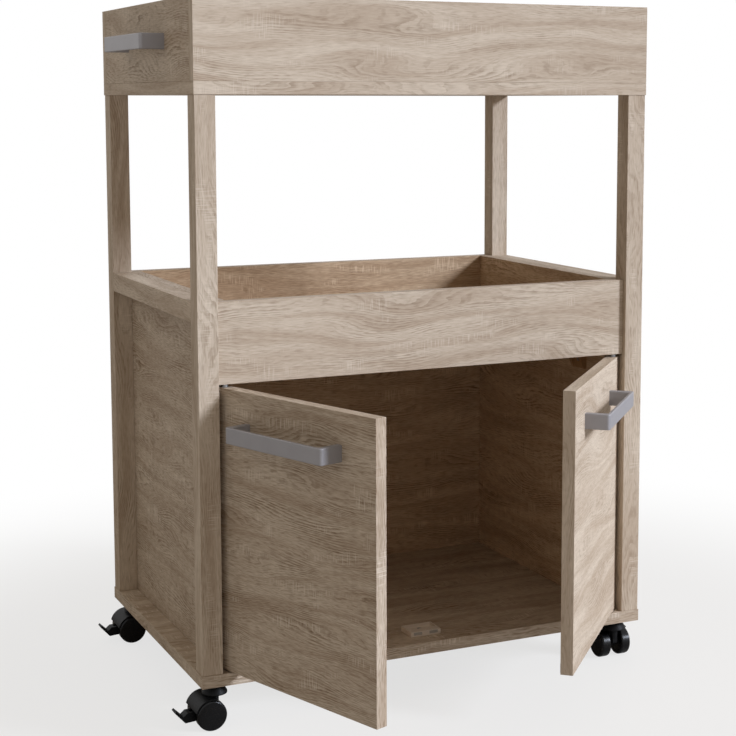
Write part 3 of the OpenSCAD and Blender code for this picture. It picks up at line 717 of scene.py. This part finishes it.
def screw_mesh(head_r, head_h, shank_r, shank_l, kind):
    """A screw on Z, with its head's seat at z = 0 and its shank below."""
    top = head_r * TOP_R
    section = ((top, head_h), (head_r * 0.9, head_h * 0.88), (head_r, head_h * 0.5), (head_r, 0),
               (shank_r, 0), (shank_r, 2 * shank_r - shank_l), (0, -shank_l))
    bm = spun(section, SCREW_STEPS)
    outer = [edge for edge in bm.edges if edge.is_boundary]
    ring = [bm.verts.new((x, y, head_h)) for x, y in recess_outline(kind, top * RECESS_R)]
    inner = [bm.edges.new((a, b)) for a, b in zip(ring, ring[1:] + ring[:1])]
    bmesh.ops.triangle_fill(bm, edges=outer + inner, use_beauty=True)
    sunk = bmesh.ops.extrude_edge_only(bm, edges=inner)["geom"]
    floor_verts = [v for v in sunk if isinstance(v, bmesh.types.BMVert)]
    floor_edges = [e for e in sunk if isinstance(e, bmesh.types.BMEdge) and e.is_boundary]
    bmesh.ops.scale(bm, vec=(FLOOR_R, FLOOR_R, 1), verts=floor_verts)
    bmesh.ops.translate(bm, vec=(0, 0, -head_h * FLOOR_DEEP), verts=floor_verts)
    bmesh.ops.contextual_create(bm, geom=floor_edges)
    bmesh.ops.recalc_face_normals(bm, faces=bm.faces)
    return bm


# %% Find each screw in its node
def solids_in(node, turned=None):
    """The corners of each separate solid of a node, after a turn if one is given."""
    bm = merged_copy(node)
    if turned:
        bm.transform(turned)
    waiting, solids = set(bm.verts), []
    while waiting:
        reached, ends = set(), [next(iter(waiting))]
        while ends:
            vert = ends.pop()
            if vert not in reached:
                reached.add(vert)
                ends.extend(edge.other_vert(vert) for edge in vert.link_edges)
        waiting -= reached
        solids.append([vert.co.copy() for vert in reached])
    bm.free()
    return sorted(solids, key=lambda points: tuple(round(x, 5) for x in min(points, key=tuple)))


def measure_screw(points):
    """A screw's seat, the way its head faces, and its head's and shank's radius and length."""
    low, high = corners(points)
    middle = (low + high) / 2
    axis = max(range(3), key=lambda i: high[i] - low[i])

    def radius(point):
        return ((point - middle).dot(point - middle) - (point[axis] - middle[axis]) ** 2) ** 0.5

    wide = max(radius(p) for p in points)
    head = [p[axis] for p in points if radius(p) > wide * 0.98]
    up = 1 if sum(head) / len(head) > middle[axis] else -1
    top = high[axis] if up > 0 else low[axis]
    seat = min(head) if up > 0 else max(head)
    tip = low[axis] if up > 0 else high[axis]
    narrow = max(radius(p) for p in points if abs(p[axis] - tip) < NEAR)
    centre = middle.copy()
    centre[axis] = seat
    facing = Vector([up if i == axis else 0 for i in range(3)])
    return centre, facing, wide, abs(top - seat), narrow, abs(seat - tip)


def screws(name, node, kind, dome=0.0, side=None):
    """Remakes every screw of a node as one piece."""
    bm = bmesh.new()
    found = solids_in(node, turning(side) if side else None)
    for points in found:
        centre, facing, head_r, head_h, shank_r, shank_l = measure_screw(points)
        one = screw_mesh(head_r, head_h + dome, shank_r, shank_l, kind)
        turn = facing.to_track_quat("Z", "X").to_matrix().to_4x4()
        one.transform(Matrix.Translation(centre) @ turn)
        part = bpy.data.meshes.new("part")
        one.to_mesh(part)
        one.free()
        bm.from_mesh(part)
        bpy.data.meshes.remove(part)
    if side:
        bm.transform(turning(side, back=True))
    print(name, len(found), "screws", open_edges(bm), "open edges")
    return finish_piece(name, bm, ZINC, node, smooth=True)


# %% Place the screws
DOME = 0.7 * MM
screws("frame_screws_hexagon", "frame_screws", "hexagon", dome=DOME)
screws("tray_handle_screws_cross", "tray_handle_screws", "cross")
screws("bracket_screws_cross", "bracket_screws", "cross")
screws("catch_screw_cross", "catch_screw", "cross")
screws("caster_screws_cross", "caster_screws", "cross")
for side in ("left", "right"):
    screws("door_screws_%s_cross" % side, "door_screws_" + side, "cross", side=side)

# %% [markdown]
# ## Light and ground
# The main light comes from the front right, about as high as the handles' short shadows
# say. It is a sun lamp, because it lights the whole cabinet evenly, and its disc is as wide
# as a large soft box looks from there. It is daylight, a little cooler than the fill, which
# comes from all around and is stronger from above. The camera itself sees a white world, and
# so does a reflection. The floor is pale, throws some light back up, and shows the camera a
# soft shadow near the cabinet that fades to white further out.

# %% Lamp, world and floor
KEY_FROM = Vector((1.0, -1.0, 0.62))
KEY_WIDE = math.radians(13)
KEY_COLOUR = "#e7efff"
KEY_STRENGTH = 3.6
FILL_COLOUR = "#fff4e6"
FILL, FILL_ABOVE = 0.235, 0.55  # its strength from the side and below, and from above
WHITE = "#ffffff"

key = link_object("key", bpy.data.lights.new("key", "SUN"))
key.location = KEY_FROM.normalized() * 3
key.rotation_euler = KEY_FROM.to_track_quat("Z", "Y").to_euler()
key.data.angle = KEY_WIDE
key.data.energy = KEY_STRENGTH
key.data.color = colour(KEY_COLOUR)[:3]

world = bpy.data.worlds.new("studio")
bpy.context.scene.world = world
world.use_nodes = True
tree = world.node_tree
ray = add(tree, "LightPath", {})
seen = add(tree, "Math", {0: ray.outputs["Is Camera Ray"], 1: ray.outputs["Is Glossy Ray"]})
seen = add(tree, "Math", {0: seen, 1: ray.outputs["Is Transmission Ray"]}, use_clamp=True)
direction = add(tree, "TexCoord", {}).outputs["Generated"]
up = add(tree, "SeparateXYZ", {"Vector": direction}).outputs["Z"]
fill = ramp(tree, up, low=FILL, high=FILL_ABOVE)
strength = ramp(tree, seen, low=fill)
tint = mix(tree, seen, FILL_COLOUR, WHITE)
plug(tree, tree.nodes["Background"], {"Color": tint, "Strength": strength})
print("key", KEY_STRENGTH, "fill", FILL, "to", FILL_ABOVE)

# %% Floor
FLOOR_COLOUR = "#c3bfb9"
FLOOR_HALF_M = 12.0     # from the middle of the floor to its edge
FLOOR_LIFT = 0.72       # how much white the camera sees in the floor near the cabinet
FADE_M = (0.55, 1.3)    # where the floor starts to fade to white, and where it is white


def pale_floor():
    material, tree, shader = new_material("pale_floor", base_color=colour(FLOOR_COLOUR),
                                          roughness=0.9)
    place = add(tree, "TexCoord", {}).outputs["Object"]
    away = add(tree, "VectorMath", {0: place}, operation="LENGTH").outputs["Value"]
    lift = ramp(tree, away, *FADE_M, low=FLOOR_LIFT, interpolation_type="SMOOTHSTEP")
    lift = times(tree, lift, add(tree, "LightPath", {}).outputs["Is Camera Ray"])
    white = add(tree, "Emission", {"Color": colour(WHITE), "Strength": 1.0})
    both = add(tree, "MixShader", {0: lift, 1: shader, 2: white})
    plug(tree, tree.nodes["Material Output"], {"Surface": both})
    return material


bm = bmesh.new()
bmesh.ops.create_grid(bm, x_segments=1, y_segments=1, size=FLOOR_HALF_M)
mesh = bpy.data.meshes.new("floor")
bm.to_mesh(mesh)
bm.free()
floor = link_object("floor", mesh)
mesh.materials.append(pale_floor())
floor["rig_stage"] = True
bpy.context.scene.view_settings.view_transform = "Standard"

# %% Measure and finish
low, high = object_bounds()
print("visual size in mm", [round(x / MM, 1) for x in high - low])
